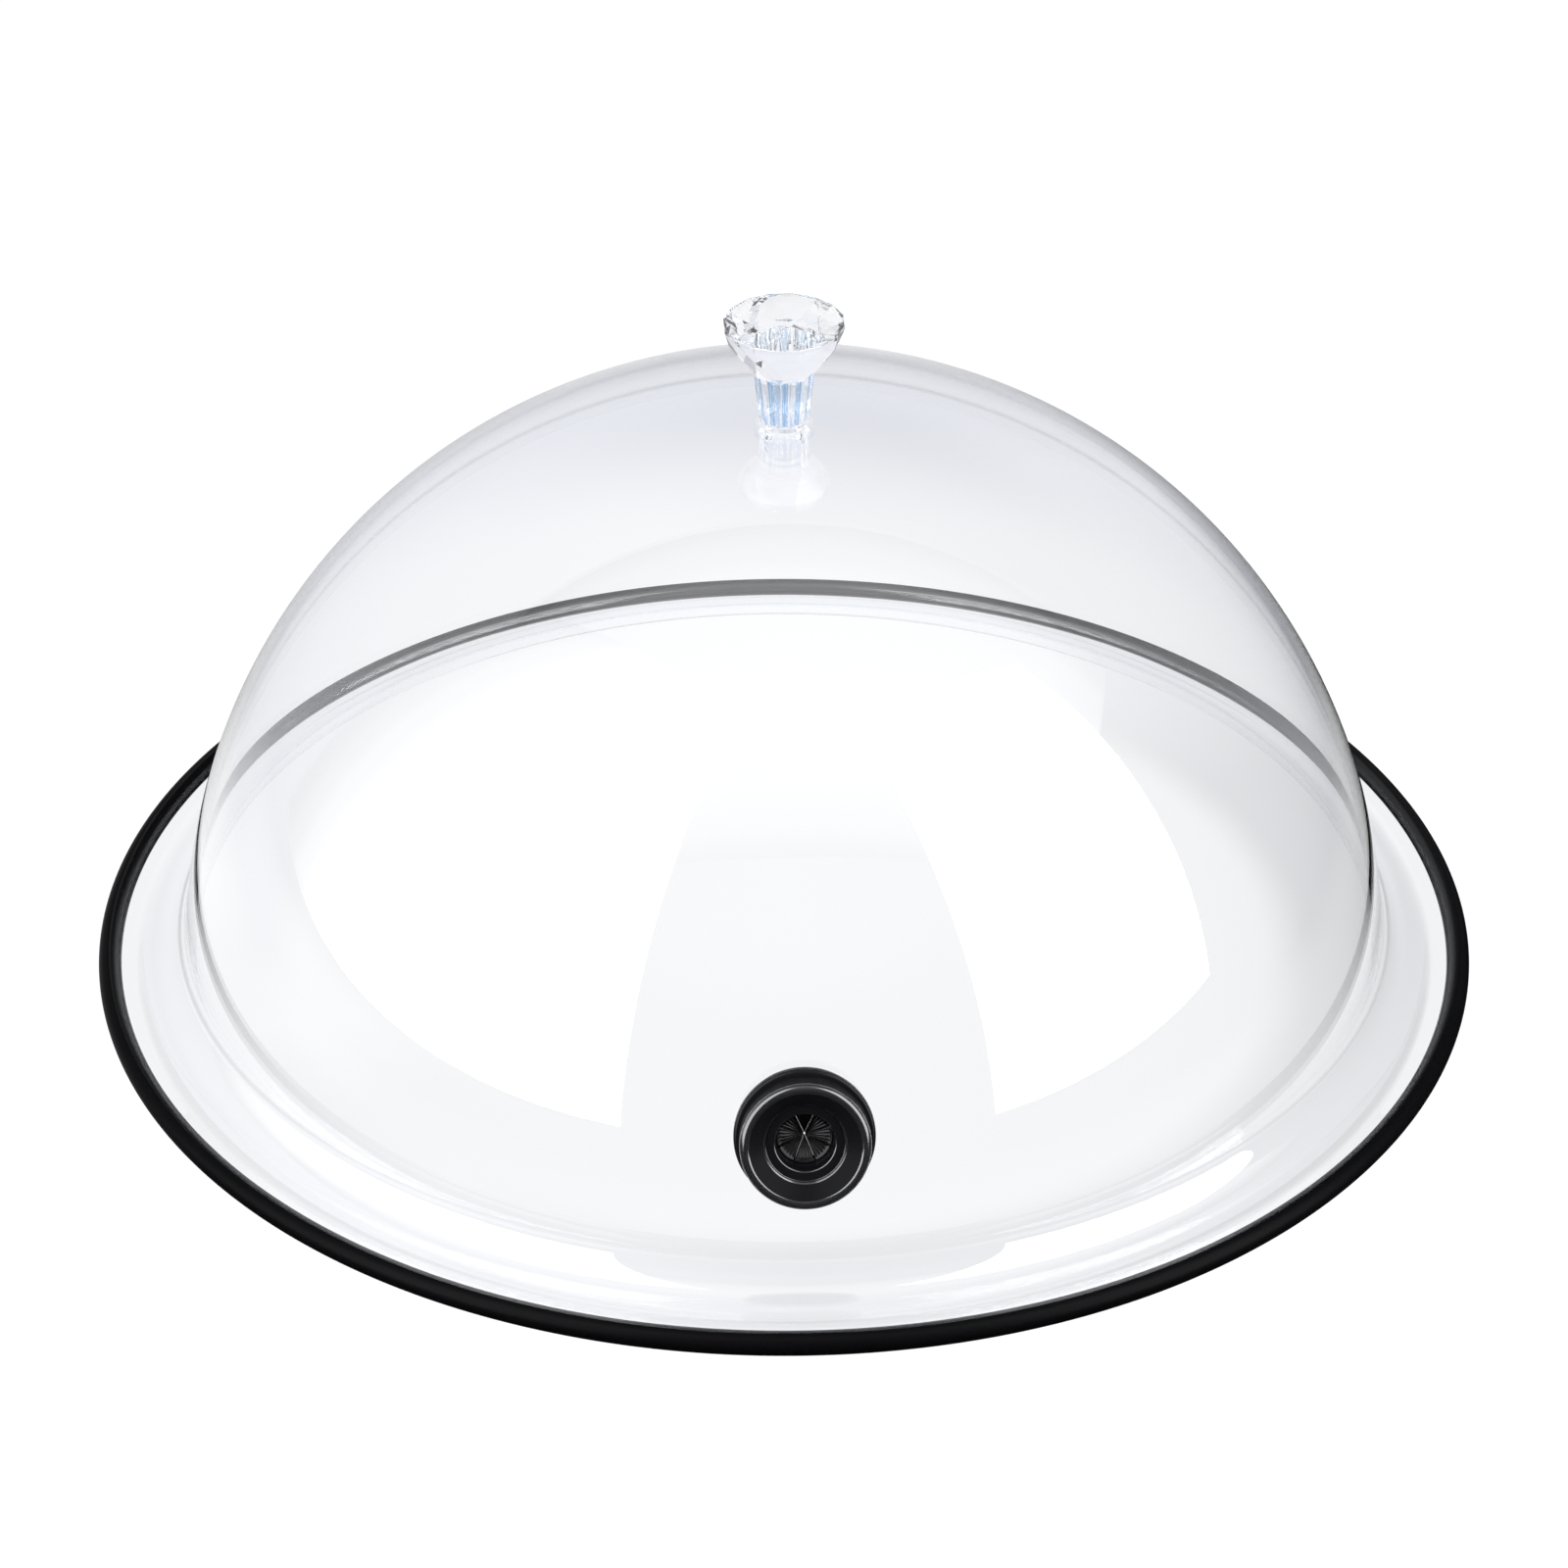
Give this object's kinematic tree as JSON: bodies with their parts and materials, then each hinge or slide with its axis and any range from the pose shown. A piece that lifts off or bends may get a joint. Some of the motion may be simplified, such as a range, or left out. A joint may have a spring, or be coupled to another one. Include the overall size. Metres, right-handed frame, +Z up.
{
  "type": "domed cover",
  "caption": "Clear domed cover with a flared foot, black edge seal, faceted lifting knob on a fluted stem and a self-closing hose port low on the wall.",
  "frame": {"origin": "on the dome's axis, in the plane that the edge seal rests on", "axes": "+Z up along the dome's axis; -Y towards the side with the hose port; +X to the right seen from the port"},
  "size_m": [0.3, 0.3, 0.1565],
  "materials": {
    "clear_dome": "clear gloss",
    "edge_seal": "satin",
    "clear_knob": "clear gloss",
    "clear_nut": "clear gloss",
    "clear_washer": "translucent satin",
    "port_plastic": "gloss",
    "port_nut_plastic": "satin",
    "gasket_rubber": "matt",
    "diaphragm_rubber": "satin"
  },
  "bodies": {
    "cover": {"dome_shell": "clear_dome", "rim_seal": "edge_seal", "knob": "clear_knob", "knob_foot_washer": "clear_washer", "knob_inner_washer": "clear_washer", "knob_nut": "clear_nut", "port_outer_gasket": "gasket_rubber", "port_body": "port_plastic", "diaphragm_ring": "diaphragm_rubber", "port_bezel": "port_plastic", "port_inner_gasket": "gasket_rubber", "port_lock_nut": "port_nut_plastic"},
    "petal_1": {"petal_1": "diaphragm_rubber"},
    "petal_2": {"petal_2": "diaphragm_rubber"},
    "petal_3": {"petal_3": "diaphragm_rubber"},
    "petal_4": {"petal_4": "diaphragm_rubber"},
    "petal_5": {"petal_5": "diaphragm_rubber"},
    "petal_6": {"petal_6": "diaphragm_rubber"},
    "petal_7": {"petal_7": "diaphragm_rubber"},
    "petal_8": {"petal_8": "diaphragm_rubber"}
  },
  "joints": [
    {"name": "petal_1_flex", "type": "hinge", "parent": "cover", "child": "petal_1", "pos_m": [0.0064, -0.12724, 0.0389], "axis": [0, -0.2924, -0.9563], "range_deg": [0, 60], "stiffness_Nm_per_rad": 0.00005},
    {"name": "petal_2_flex", "type": "hinge", "parent": "cover", "child": "petal_2", "pos_m": [0.00453, -0.12591, 0.04323], "axis": [0.7071, -0.2067, -0.6762], "range_deg": [0, 60], "stiffness_Nm_per_rad": 0.00005},
    {"name": "petal_3_flex", "type": "hinge", "parent": "cover", "child": "petal_3", "pos_m": [0, -0.12537, 0.04502], "axis": [1, 0, 0], "range_deg": [0, 60], "stiffness_Nm_per_rad": 0.00005},
    {"name": "petal_4_flex", "type": "hinge", "parent": "cover", "child": "petal_4", "pos_m": [-0.00453, -0.12591, 0.04323], "axis": [0.7071, 0.2067, 0.6762], "range_deg": [0, 60], "stiffness_Nm_per_rad": 0.00005},
    {"name": "petal_5_flex", "type": "hinge", "parent": "cover", "child": "petal_5", "pos_m": [-0.0064, -0.12724, 0.0389], "axis": [0, 0.2924, 0.9563], "range_deg": [0, 60], "stiffness_Nm_per_rad": 0.00005},
    {"name": "petal_6_flex", "type": "hinge", "parent": "cover", "child": "petal_6", "pos_m": [-0.00453, -0.12856, 0.03457], "axis": [-0.7071, 0.2067, 0.6762], "range_deg": [0, 60], "stiffness_Nm_per_rad": 0.00005},
    {"name": "petal_7_flex", "type": "hinge", "parent": "cover", "child": "petal_7", "pos_m": [0, -0.12911, 0.03278], "axis": [-1, 0, 0], "range_deg": [0, 60], "stiffness_Nm_per_rad": 0.00005},
    {"name": "petal_8_flex", "type": "hinge", "parent": "cover", "child": "petal_8", "pos_m": [0.00453, -0.12856, 0.03457], "axis": [-0.7071, -0.2067, -0.6762], "range_deg": [0, 60], "stiffness_Nm_per_rad": 0.00005}
  ],
  "couplings": [
    {"joint": "petal_2_flex", "follows": "petal_1_flex", "ratio": 1},
    {"joint": "petal_3_flex", "follows": "petal_1_flex", "ratio": 1},
    {"joint": "petal_4_flex", "follows": "petal_1_flex", "ratio": 1},
    {"joint": "petal_5_flex", "follows": "petal_1_flex", "ratio": 1},
    {"joint": "petal_6_flex", "follows": "petal_1_flex", "ratio": 1},
    {"joint": "petal_7_flex", "follows": "petal_1_flex", "ratio": 1},
    {"joint": "petal_8_flex", "follows": "petal_1_flex", "ratio": 1}
  ]
}
